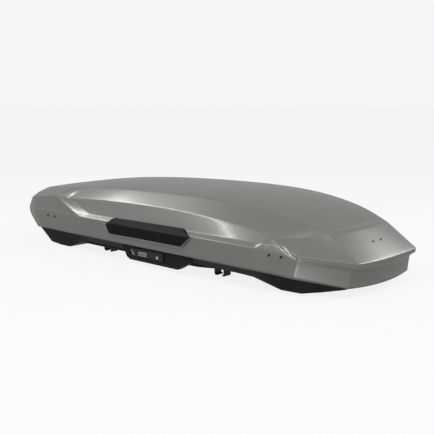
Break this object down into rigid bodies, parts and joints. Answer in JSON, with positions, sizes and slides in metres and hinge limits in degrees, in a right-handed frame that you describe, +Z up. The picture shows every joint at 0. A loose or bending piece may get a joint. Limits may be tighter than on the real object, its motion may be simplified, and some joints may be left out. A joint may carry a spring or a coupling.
{
  "type": "roof cargo box",
  "caption": "Long hard-shell roof cargo box with a faceted glossy grey lid on a black tray; the lid opens from either side on struts, with sliding latches and roof-bar clamps.",
  "frame": {"origin": "on the floor under the centre of the bounding box", "axes": "+X towards the nose, +Y towards the far side, +Z up"},
  "size_m": [2.32, 0.968, 0.4129],
  "materials": {
    "lid_titan": "fine metallic, satin gloss",
    "rubber": "matt",
    "grip_black": "fine grain",
    "plate_grey": "satin",
    "lock_chrome": "polished",
    "base_black": "grained",
    "fitting_black": "fine grain",
    "frame_dark": "powder coated",
    "steel": "zinc plated"
  },
  "bodies": {
    "root": {"base_tray": "base_black", "base_seal": "rubber", "clamp_tracks": "steel", "lock_housing_near": "base_black", "lock_housing_far": "base_black", "base_hinge_brackets": "steel", "base_hinge_pins": "steel", "strut_posts": "frame_dark", "tray_screws": "steel"},
    "slide_near": {"slide_handle_near": "fitting_black", "latch_rail_near": "steel", "status_plate_near": "plate_grey"},
    "key_near": {"key_cylinder_near": "lock_chrome"},
    "slide_far": {"slide_handle_far": "fitting_black", "latch_rail_far": "steel", "status_plate_far": "plate_grey"},
    "key_far": {"key_cylinder_far": "lock_chrome"},
    "lift_frames": {"lift_frame_front": "frame_dark", "lift_frame_rear": "frame_dark", "frame_studs": "steel"},
    "lid": {"lid_shell": "lid_titan", "lid_stiffeners": "frame_dark", "side_grip_near": "grip_black", "side_grip_far": "grip_black", "lid_screws": "rubber", "striker_pins": "steel", "lid_hinge_brackets": "steel", "lid_hinge_pins": "steel", "lid_strut_brackets": "steel"},
    "tube_front_a": {"strut_tube_front_a": "frame_dark"},
    "rod_front_a": {"strut_rod_front_a": "steel"},
    "tube_front_b": {"strut_tube_front_b": "frame_dark"},
    "rod_front_b": {"strut_rod_front_b": "steel"},
    "tube_rear_a": {"strut_tube_rear_a": "frame_dark"},
    "rod_rear_a": {"strut_rod_rear_a": "steel"},
    "tube_rear_b": {"strut_tube_rear_b": "frame_dark"},
    "rod_rear_b": {"strut_rod_rear_b": "steel"},
    "clamp_front_near": {"clamp_body_front_near": "fitting_black", "clamp_pads_front_near": "rubber"},
    "jaw_front_near": {"clamp_jaw_front_near": "fitting_black"},
    "knob_front_near": {"clamp_knob_front_near": "fitting_black"},
    "clamp_front_far": {"clamp_body_front_far": "fitting_black", "clamp_pads_front_far": "rubber"},
    "jaw_front_far": {"clamp_jaw_front_far": "fitting_black"},
    "knob_front_far": {"clamp_knob_front_far": "fitting_black"},
    "clamp_rear_near": {"clamp_body_rear_near": "fitting_black", "clamp_pads_rear_near": "rubber"},
    "jaw_rear_near": {"clamp_jaw_rear_near": "fitting_black"},
    "knob_rear_near": {"clamp_knob_rear_near": "fitting_black"},
    "clamp_rear_far": {"clamp_body_rear_far": "fitting_black", "clamp_pads_rear_far": "rubber"},
    "jaw_rear_far": {"clamp_jaw_rear_far": "fitting_black"},
    "knob_rear_far": {"clamp_knob_rear_far": "fitting_black"}
  },
  "joints": [
    {"name": "open_near_side", "type": "hinge", "parent": "root", "child": "lift_frames", "pos_m": [0, 0.43, 0.106], "axis": [-1, 0, 0], "range_deg": [0, 38.5]},
    {"name": "open_far_side", "type": "hinge", "parent": "lift_frames", "child": "lid", "pos_m": [0, -0.43, 0.106], "axis": [1, 0, 0], "range_deg": [0, 38.5]},
    {"name": "tube_front_a_pivot", "type": "hinge", "parent": "root", "child": "tube_front_a", "pos_m": [0.644, 0.20126, 0.08196], "axis": [-1, 0, 0], "range_deg": [0, 19.25]},
    {"name": "rod_front_a_pivot", "type": "hinge", "parent": "lift_frames", "child": "rod_front_a", "pos_m": [0.644, 0.27023, 0.27145], "axis": [-1, 0, 0], "range_deg": [-19.25, 0]},
    {"name": "tube_front_b_pivot", "type": "hinge", "parent": "lift_frames", "child": "tube_front_b", "pos_m": [0.644, -0.20126, 0.08196], "axis": [1, 0, 0], "range_deg": [0, 19.25]},
    {"name": "rod_front_b_pivot", "type": "hinge", "parent": "lid", "child": "rod_front_b", "pos_m": [0.644, -0.27023, 0.27145], "axis": [1, 0, 0], "range_deg": [-19.25, 0]},
    {"name": "tube_rear_a_pivot", "type": "hinge", "parent": "root", "child": "tube_rear_a", "pos_m": [-0.644, 0.20126, 0.08196], "axis": [-1, 0, 0], "range_deg": [0, 19.25]},
    {"name": "rod_rear_a_pivot", "type": "hinge", "parent": "lift_frames", "child": "rod_rear_a", "pos_m": [-0.644, 0.27023, 0.27145], "axis": [-1, 0, 0], "range_deg": [-19.25, 0]},
    {"name": "tube_rear_b_pivot", "type": "hinge", "parent": "lift_frames", "child": "tube_rear_b", "pos_m": [-0.644, -0.20126, 0.08196], "axis": [1, 0, 0], "range_deg": [0, 19.25]},
    {"name": "rod_rear_b_pivot", "type": "hinge", "parent": "lid", "child": "rod_rear_b", "pos_m": [-0.644, -0.27023, 0.27145], "axis": [1, 0, 0], "range_deg": [-19.25, 0]},
    {"name": "slide_near_latch", "type": "slide", "parent": "root", "child": "slide_near", "axis": [1, 0, 0], "range_m": [0, 0.028]},
    {"name": "key_near_turn", "type": "hinge", "parent": "slide_near", "child": "key_near", "pos_m": [0.081, -0.446, 0.062], "axis": [0, -1, 0], "range_deg": [0, 90]},
    {"name": "slide_far_latch", "type": "slide", "parent": "root", "child": "slide_far", "axis": [1, 0, 0], "range_m": [0, 0.028]},
    {"name": "key_far_turn", "type": "hinge", "parent": "slide_far", "child": "key_far", "pos_m": [0.081, 0.446, 0.062], "axis": [0, 1, 0], "range_deg": [0, 90]},
    {"name": "clamp_front_near_slide", "type": "slide", "parent": "root", "child": "clamp_front_near", "axis": [1, 0, 0], "range_m": [-0.04, 0.04]},
    {"name": "knob_front_near_turn", "type": "hinge", "parent": "clamp_front_near", "child": "knob_front_near", "pos_m": [0.402, -0.3, 0.1], "axis": [0, 0, 1], "range_deg": [0, 1080]},
    {"name": "jaw_front_near_slide", "type": "slide", "parent": "clamp_front_near", "child": "jaw_front_near", "axis": [1, 0, 0], "range_m": [0, 0.01]},
    {"name": "clamp_front_far_slide", "type": "slide", "parent": "root", "child": "clamp_front_far", "axis": [1, 0, 0], "range_m": [-0.04, 0.04]},
    {"name": "knob_front_far_turn", "type": "hinge", "parent": "clamp_front_far", "child": "knob_front_far", "pos_m": [0.402, 0.3, 0.1], "axis": [0, 0, 1], "range_deg": [0, 1080]},
    {"name": "jaw_front_far_slide", "type": "slide", "parent": "clamp_front_far", "child": "jaw_front_far", "axis": [1, 0, 0], "range_m": [0, 0.01]},
    {"name": "clamp_rear_near_slide", "type": "slide", "parent": "root", "child": "clamp_rear_near", "axis": [1, 0, 0], "range_m": [-0.04, 0.04]},
    {"name": "knob_rear_near_turn", "type": "hinge", "parent": "clamp_rear_near", "child": "knob_rear_near", "pos_m": [-0.472, -0.3, 0.1], "axis": [0, 0, 1], "range_deg": [0, 1080]},
    {"name": "jaw_rear_near_slide", "type": "slide", "parent": "clamp_rear_near", "child": "jaw_rear_near", "axis": [1, 0, 0], "range_m": [0, 0.01]},
    {"name": "clamp_rear_far_slide", "type": "slide", "parent": "root", "child": "clamp_rear_far", "axis": [1, 0, 0], "range_m": [-0.04, 0.04]},
    {"name": "knob_rear_far_turn", "type": "hinge", "parent": "clamp_rear_far", "child": "knob_rear_far", "pos_m": [-0.472, 0.3, 0.1], "axis": [0, 0, 1], "range_deg": [0, 1080]},
    {"name": "jaw_rear_far_slide", "type": "slide", "parent": "clamp_rear_far", "child": "jaw_rear_far", "axis": [1, 0, 0], "range_m": [0, 0.01]}
  ],
  "couplings": [
    {"joint": "tube_front_a_pivot", "follows": "open_near_side", "ratio": 0.5},
    {"joint": "rod_front_a_pivot", "follows": "open_near_side", "ratio": -0.5},
    {"joint": "tube_front_b_pivot", "follows": "open_far_side", "ratio": 0.5},
    {"joint": "rod_front_b_pivot", "follows": "open_far_side", "ratio": -0.5},
    {"joint": "tube_rear_a_pivot", "follows": "open_near_side", "ratio": 0.5},
    {"joint": "rod_rear_a_pivot", "follows": "open_near_side", "ratio": -0.5},
    {"joint": "tube_rear_b_pivot", "follows": "open_far_side", "ratio": 0.5},
    {"joint": "rod_rear_b_pivot", "follows": "open_far_side", "ratio": -0.5},
    {"joint": "jaw_front_near_slide", "follows": "knob_front_near_turn", "m_per_rad": 0.00053052},
    {"joint": "jaw_front_far_slide", "follows": "knob_front_far_turn", "m_per_rad": 0.00053052},
    {"joint": "jaw_rear_near_slide", "follows": "knob_rear_near_turn", "m_per_rad": 0.00053052},
    {"joint": "jaw_rear_far_slide", "follows": "knob_rear_far_turn", "m_per_rad": 0.00053052}
  ]
}
